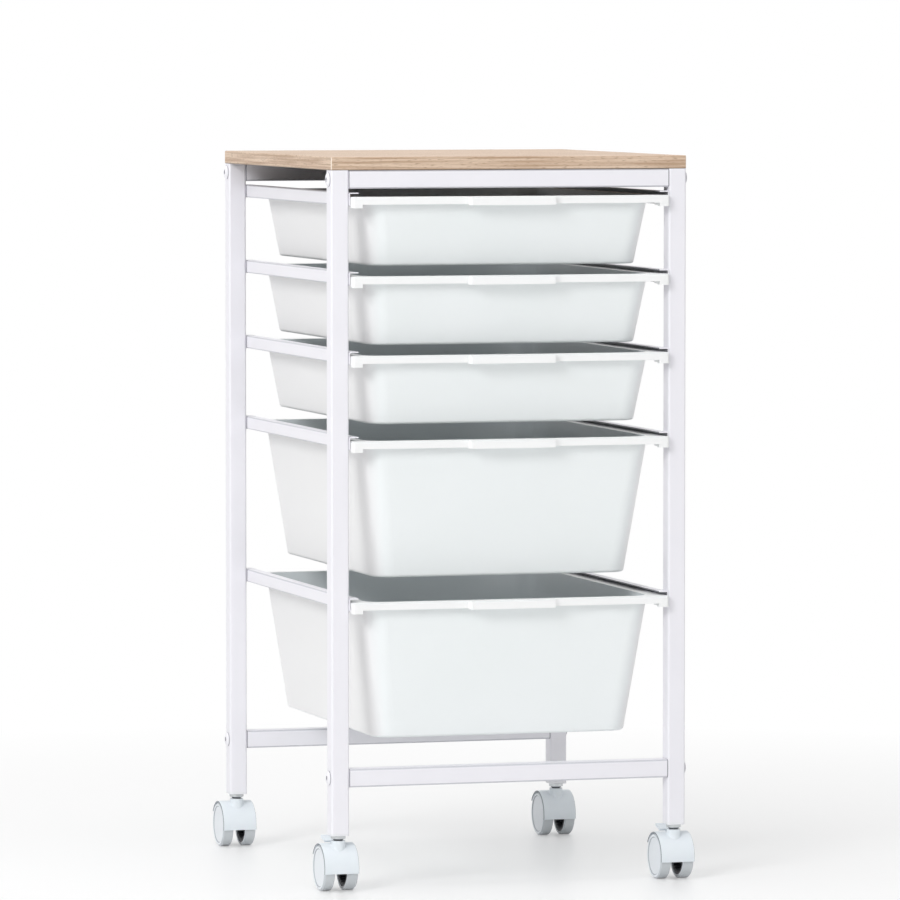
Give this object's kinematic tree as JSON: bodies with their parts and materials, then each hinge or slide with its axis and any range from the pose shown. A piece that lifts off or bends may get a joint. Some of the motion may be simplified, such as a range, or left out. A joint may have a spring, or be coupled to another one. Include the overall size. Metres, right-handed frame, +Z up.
{
  "type": "rolling drawer cart",
  "caption": "Narrow rolling cart: white square-tube frame, oak-finish top board, tapered pull-out bins on channel runners, twin-wheel swivel casters with front brakes.",
  "frame": {"origin": "on the floor, in the middle of the space that the cart takes up", "axes": "+Z up, +X to the right as seen from the front, the bins pull out towards -Y"},
  "size_m": [0.3526, 0.4124, 0.6654],
  "materials": {
    "oak_board": "oak-grain melamine",
    "white_enamel": "white powder coat",
    "bin_plastic": "moulded milky polypropylene",
    "caster_plastic": "moulded pale grey nylon",
    "black_plastic": "moulded black nylon",
    "socket_plastic": "moulded white plastic",
    "zinc_steel": "zinc-plated turned steel"
  },
  "bodies": {
    "frame": {"top_board": "oak_board", "front_left_post": "white_enamel", "rear_left_post": "white_enamel", "front_right_post": "white_enamel", "rear_right_post": "white_enamel", "front_lower_rail": "white_enamel", "rear_lower_rail": "white_enamel", "front_top_rail": "white_enamel", "rear_top_rail": "white_enamel", "left_runner_1": "white_enamel", "right_runner_1": "white_enamel", "left_runner_2": "white_enamel", "right_runner_2": "white_enamel", "left_runner_3": "white_enamel", "right_runner_3": "white_enamel", "left_runner_4": "white_enamel", "right_runner_4": "white_enamel", "left_runner_5": "white_enamel", "right_runner_5": "white_enamel", "connector_bolts": "white_enamel", "rail_nuts": "socket_plastic", "board_screws": "zinc_steel", "caster_sockets": "socket_plastic", "front_left_stem": "zinc_steel", "rear_left_stem": "zinc_steel", "front_right_stem": "zinc_steel", "rear_right_stem": "zinc_steel"},
    "drawer_1": {"drawer_1_bin": "bin_plastic"},
    "drawer_2": {"drawer_2_bin": "bin_plastic"},
    "drawer_3": {"drawer_3_bin": "bin_plastic"},
    "drawer_4": {"drawer_4_bin": "bin_plastic"},
    "drawer_5": {"drawer_5_bin": "bin_plastic"},
    "front_left_caster": {"front_left_hood": "caster_plastic", "front_left_axle": "zinc_steel", "front_left_brake_pin": "zinc_steel"},
    "front_left_outer_wheel": {"front_left_outer_wheel_shell": "caster_plastic", "front_left_outer_wheel_core": "black_plastic"},
    "front_left_inner_wheel": {"front_left_inner_wheel_shell": "caster_plastic", "front_left_inner_wheel_core": "black_plastic"},
    "front_left_brake": {"front_left_brake_lever": "caster_plastic"},
    "rear_left_caster": {"rear_left_hood": "caster_plastic", "rear_left_axle": "zinc_steel"},
    "rear_left_outer_wheel": {"rear_left_outer_wheel_shell": "caster_plastic", "rear_left_outer_wheel_core": "black_plastic"},
    "rear_left_inner_wheel": {"rear_left_inner_wheel_shell": "caster_plastic", "rear_left_inner_wheel_core": "black_plastic"},
    "front_right_caster": {"front_right_hood": "caster_plastic", "front_right_axle": "zinc_steel", "front_right_brake_pin": "zinc_steel"},
    "front_right_outer_wheel": {"front_right_outer_wheel_shell": "caster_plastic", "front_right_outer_wheel_core": "black_plastic"},
    "front_right_inner_wheel": {"front_right_inner_wheel_shell": "caster_plastic", "front_right_inner_wheel_core": "black_plastic"},
    "front_right_brake": {"front_right_brake_lever": "caster_plastic"},
    "rear_right_caster": {"rear_right_hood": "caster_plastic", "rear_right_axle": "zinc_steel"},
    "rear_right_outer_wheel": {"rear_right_outer_wheel_shell": "caster_plastic", "rear_right_outer_wheel_core": "black_plastic"},
    "rear_right_inner_wheel": {"rear_right_inner_wheel_shell": "caster_plastic", "rear_right_inner_wheel_core": "black_plastic"}
  },
  "joints": [
    {"name": "drawer_1_slide", "type": "slide", "parent": "frame", "child": "drawer_1", "axis": [0, -1, 0], "range_m": [0, 0.29]},
    {"name": "drawer_2_slide", "type": "slide", "parent": "frame", "child": "drawer_2", "axis": [0, -1, 0], "range_m": [0, 0.29]},
    {"name": "drawer_3_slide", "type": "slide", "parent": "frame", "child": "drawer_3", "axis": [0, -1, 0], "range_m": [0, 0.29]},
    {"name": "drawer_4_slide", "type": "slide", "parent": "frame", "child": "drawer_4", "axis": [0, -1, 0], "range_m": [0, 0.29]},
    {"name": "drawer_5_slide", "type": "slide", "parent": "frame", "child": "drawer_5", "axis": [0, -1, 0], "range_m": [0, 0.29]},
    {"name": "front_left_swivel", "type": "hinge", "parent": "frame", "child": "front_left_caster", "pos_m": [-0.16015, -0.18485, 0.0462], "axis": [0, 0, 1], "continuous": true},
    {"name": "front_left_outer_wheel_spin", "type": "hinge", "parent": "front_left_caster", "child": "front_left_outer_wheel", "pos_m": [-0.16015, -0.17585, 0.02075], "axis": [1, 0, 0], "continuous": true},
    {"name": "front_left_inner_wheel_spin", "type": "hinge", "parent": "front_left_caster", "child": "front_left_inner_wheel", "pos_m": [-0.16015, -0.17585, 0.02075], "axis": [1, 0, 0], "continuous": true},
    {"name": "front_left_brake_press", "type": "hinge", "parent": "front_left_caster", "child": "front_left_brake", "pos_m": [-0.16015, -0.16857, 0.03444], "axis": [-1, 0, 0], "range_deg": [0, 18]},
    {"name": "rear_left_swivel", "type": "hinge", "parent": "frame", "child": "rear_left_caster", "pos_m": [-0.16015, 0.17645, 0.0462], "axis": [0, 0, 1], "continuous": true},
    {"name": "rear_left_outer_wheel_spin", "type": "hinge", "parent": "rear_left_caster", "child": "rear_left_outer_wheel", "pos_m": [-0.16015, 0.18545, 0.02075], "axis": [1, 0, 0], "continuous": true},
    {"name": "rear_left_inner_wheel_spin", "type": "hinge", "parent": "rear_left_caster", "child": "rear_left_inner_wheel", "pos_m": [-0.16015, 0.18545, 0.02075], "axis": [1, 0, 0], "continuous": true},
    {"name": "front_right_swivel", "type": "hinge", "parent": "frame", "child": "front_right_caster", "pos_m": [0.16015, -0.18485, 0.0462], "axis": [0, 0, 1], "continuous": true},
    {"name": "front_right_outer_wheel_spin", "type": "hinge", "parent": "front_right_caster", "child": "front_right_outer_wheel", "pos_m": [0.16015, -0.17585, 0.02075], "axis": [1, 0, 0], "continuous": true},
    {"name": "front_right_inner_wheel_spin", "type": "hinge", "parent": "front_right_caster", "child": "front_right_inner_wheel", "pos_m": [0.16015, -0.17585, 0.02075], "axis": [1, 0, 0], "continuous": true},
    {"name": "front_right_brake_press", "type": "hinge", "parent": "front_right_caster", "child": "front_right_brake", "pos_m": [0.16015, -0.16857, 0.03444], "axis": [-1, 0, 0], "range_deg": [0, 18]},
    {"name": "rear_right_swivel", "type": "hinge", "parent": "frame", "child": "rear_right_caster", "pos_m": [0.16015, 0.17645, 0.0462], "axis": [0, 0, 1], "continuous": true},
    {"name": "rear_right_outer_wheel_spin", "type": "hinge", "parent": "rear_right_caster", "child": "rear_right_outer_wheel", "pos_m": [0.16015, 0.18545, 0.02075], "axis": [1, 0, 0], "continuous": true},
    {"name": "rear_right_inner_wheel_spin", "type": "hinge", "parent": "rear_right_caster", "child": "rear_right_inner_wheel", "pos_m": [0.16015, 0.18545, 0.02075], "axis": [1, 0, 0], "continuous": true}
  ]
}
